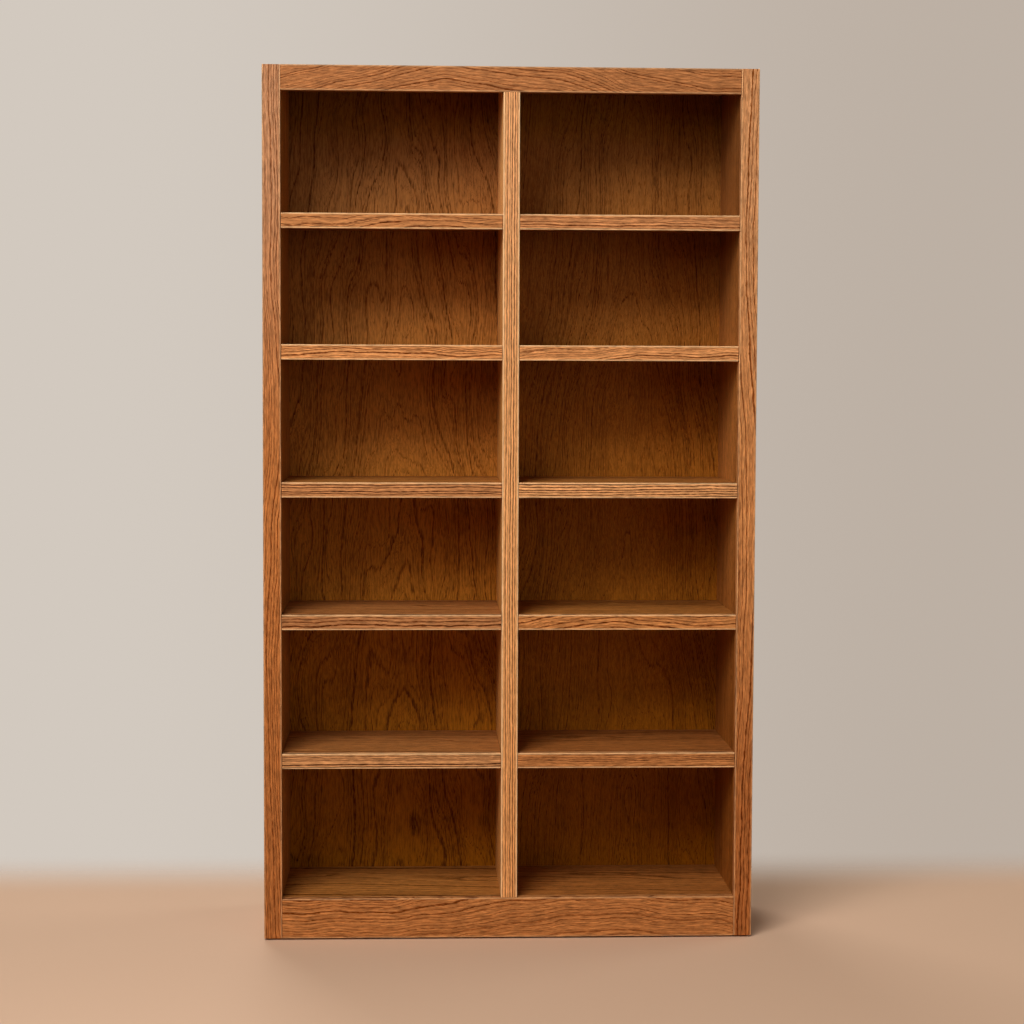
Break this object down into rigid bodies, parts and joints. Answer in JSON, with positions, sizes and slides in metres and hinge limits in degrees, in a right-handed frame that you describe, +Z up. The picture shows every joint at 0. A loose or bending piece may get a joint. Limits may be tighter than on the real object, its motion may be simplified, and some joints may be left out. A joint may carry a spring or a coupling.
{
  "type": "bookcase with adjustable shelves",
  "caption": "Tall double-column oak bookcase with a face frame and adjustable shelves that rest on concealed wire supports.",
  "frame": {"origin": "on the floor, under the middle of the case", "axes": "+Z up, front of the case towards -Y, +X to the viewer's right when facing the front"},
  "size_m": [1.204, 0.381, 2.134],
  "materials": {
    "solid_oak": "satin lacquer over golden brown stain, open pores",
    "oak_veneer": "satin lacquer over golden brown stain, plain-sawn veneer",
    "back_veneer": "satin lacquer over golden brown stain, thin plywood",
    "spring_steel": "bright zinc plated wire",
    "glide_nylon": "moulded, matt"
  },
  "bodies": {
    "carcass": {"left_side_panel": "oak_veneer", "right_side_panel": "oak_veneer", "centre_divider": "oak_veneer", "top_panel": "oak_veneer", "left_deck": "oak_veneer", "right_deck": "oak_veneer", "left_stile": "solid_oak", "right_stile": "solid_oak", "centre_stile": "solid_oak", "top_rail": "solid_oak", "base_rail": "solid_oak", "left_back_panel": "back_veneer", "right_back_panel": "back_veneer", "hanging_rail": "solid_oak", "rear_base_rail": "solid_oak", "front_left_glide": "glide_nylon", "front_right_glide": "glide_nylon", "rear_left_glide": "glide_nylon", "rear_right_glide": "glide_nylon"},
    "left_shelf_1_supports": {"left_shelf_1_left_wire": "spring_steel", "left_shelf_1_right_wire": "spring_steel"},
    "left_shelf_1": {"left_shelf_1_board": "oak_veneer", "left_shelf_1_nosing": "solid_oak"},
    "left_shelf_2_supports": {"left_shelf_2_left_wire": "spring_steel", "left_shelf_2_right_wire": "spring_steel"},
    "left_shelf_2": {"left_shelf_2_board": "oak_veneer", "left_shelf_2_nosing": "solid_oak"},
    "left_shelf_3_supports": {"left_shelf_3_left_wire": "spring_steel", "left_shelf_3_right_wire": "spring_steel"},
    "left_shelf_3": {"left_shelf_3_board": "oak_veneer", "left_shelf_3_nosing": "solid_oak"},
    "left_shelf_4_supports": {"left_shelf_4_left_wire": "spring_steel", "left_shelf_4_right_wire": "spring_steel"},
    "left_shelf_4": {"left_shelf_4_board": "oak_veneer", "left_shelf_4_nosing": "solid_oak"},
    "left_shelf_5_supports": {"left_shelf_5_left_wire": "spring_steel", "left_shelf_5_right_wire": "spring_steel"},
    "left_shelf_5": {"left_shelf_5_board": "oak_veneer", "left_shelf_5_nosing": "solid_oak"},
    "right_shelf_1_supports": {"right_shelf_1_left_wire": "spring_steel", "right_shelf_1_right_wire": "spring_steel"},
    "right_shelf_1": {"right_shelf_1_board": "oak_veneer", "right_shelf_1_nosing": "solid_oak"},
    "right_shelf_2_supports": {"right_shelf_2_left_wire": "spring_steel", "right_shelf_2_right_wire": "spring_steel"},
    "right_shelf_2": {"right_shelf_2_board": "oak_veneer", "right_shelf_2_nosing": "solid_oak"},
    "right_shelf_3_supports": {"right_shelf_3_left_wire": "spring_steel", "right_shelf_3_right_wire": "spring_steel"},
    "right_shelf_3": {"right_shelf_3_board": "oak_veneer", "right_shelf_3_nosing": "solid_oak"},
    "right_shelf_4_supports": {"right_shelf_4_left_wire": "spring_steel", "right_shelf_4_right_wire": "spring_steel"},
    "right_shelf_4": {"right_shelf_4_board": "oak_veneer", "right_shelf_4_nosing": "solid_oak"},
    "right_shelf_5_supports": {"right_shelf_5_left_wire": "spring_steel", "right_shelf_5_right_wire": "spring_steel"},
    "right_shelf_5": {"right_shelf_5_board": "oak_veneer", "right_shelf_5_nosing": "solid_oak"}
  },
  "joints": [
    {"name": "left_shelf_1_height", "type": "slide", "parent": "carcass", "child": "left_shelf_1_supports", "axis": [0, 0, 1], "range_m": [-0.096, 0.096]},
    {"name": "left_shelf_1_pull_out", "type": "slide", "parent": "left_shelf_1_supports", "child": "left_shelf_1", "axis": [0, -1, 0], "range_m": [0, 0.22]},
    {"name": "left_shelf_2_height", "type": "slide", "parent": "carcass", "child": "left_shelf_2_supports", "axis": [0, 0, 1], "range_m": [-0.096, 0.096]},
    {"name": "left_shelf_2_pull_out", "type": "slide", "parent": "left_shelf_2_supports", "child": "left_shelf_2", "axis": [0, -1, 0], "range_m": [0, 0.22]},
    {"name": "left_shelf_3_height", "type": "slide", "parent": "carcass", "child": "left_shelf_3_supports", "axis": [0, 0, 1], "range_m": [-0.096, 0.096]},
    {"name": "left_shelf_3_pull_out", "type": "slide", "parent": "left_shelf_3_supports", "child": "left_shelf_3", "axis": [0, -1, 0], "range_m": [0, 0.22]},
    {"name": "left_shelf_4_height", "type": "slide", "parent": "carcass", "child": "left_shelf_4_supports", "axis": [0, 0, 1], "range_m": [-0.096, 0.096]},
    {"name": "left_shelf_4_pull_out", "type": "slide", "parent": "left_shelf_4_supports", "child": "left_shelf_4", "axis": [0, -1, 0], "range_m": [0, 0.22]},
    {"name": "left_shelf_5_height", "type": "slide", "parent": "carcass", "child": "left_shelf_5_supports", "axis": [0, 0, 1], "range_m": [-0.096, 0.096]},
    {"name": "left_shelf_5_pull_out", "type": "slide", "parent": "left_shelf_5_supports", "child": "left_shelf_5", "axis": [0, -1, 0], "range_m": [0, 0.22]},
    {"name": "right_shelf_1_height", "type": "slide", "parent": "carcass", "child": "right_shelf_1_supports", "axis": [0, 0, 1], "range_m": [-0.096, 0.096]},
    {"name": "right_shelf_1_pull_out", "type": "slide", "parent": "right_shelf_1_supports", "child": "right_shelf_1", "axis": [0, -1, 0], "range_m": [0, 0.22]},
    {"name": "right_shelf_2_height", "type": "slide", "parent": "carcass", "child": "right_shelf_2_supports", "axis": [0, 0, 1], "range_m": [-0.096, 0.096]},
    {"name": "right_shelf_2_pull_out", "type": "slide", "parent": "right_shelf_2_supports", "child": "right_shelf_2", "axis": [0, -1, 0], "range_m": [0, 0.22]},
    {"name": "right_shelf_3_height", "type": "slide", "parent": "carcass", "child": "right_shelf_3_supports", "axis": [0, 0, 1], "range_m": [-0.096, 0.096]},
    {"name": "right_shelf_3_pull_out", "type": "slide", "parent": "right_shelf_3_supports", "child": "right_shelf_3", "axis": [0, -1, 0], "range_m": [0, 0.22]},
    {"name": "right_shelf_4_height", "type": "slide", "parent": "carcass", "child": "right_shelf_4_supports", "axis": [0, 0, 1], "range_m": [-0.096, 0.096]},
    {"name": "right_shelf_4_pull_out", "type": "slide", "parent": "right_shelf_4_supports", "child": "right_shelf_4", "axis": [0, -1, 0], "range_m": [0, 0.22]},
    {"name": "right_shelf_5_height", "type": "slide", "parent": "carcass", "child": "right_shelf_5_supports", "axis": [0, 0, 1], "range_m": [-0.096, 0.096]},
    {"name": "right_shelf_5_pull_out", "type": "slide", "parent": "right_shelf_5_supports", "child": "right_shelf_5", "axis": [0, -1, 0], "range_m": [0, 0.22]}
  ]
}
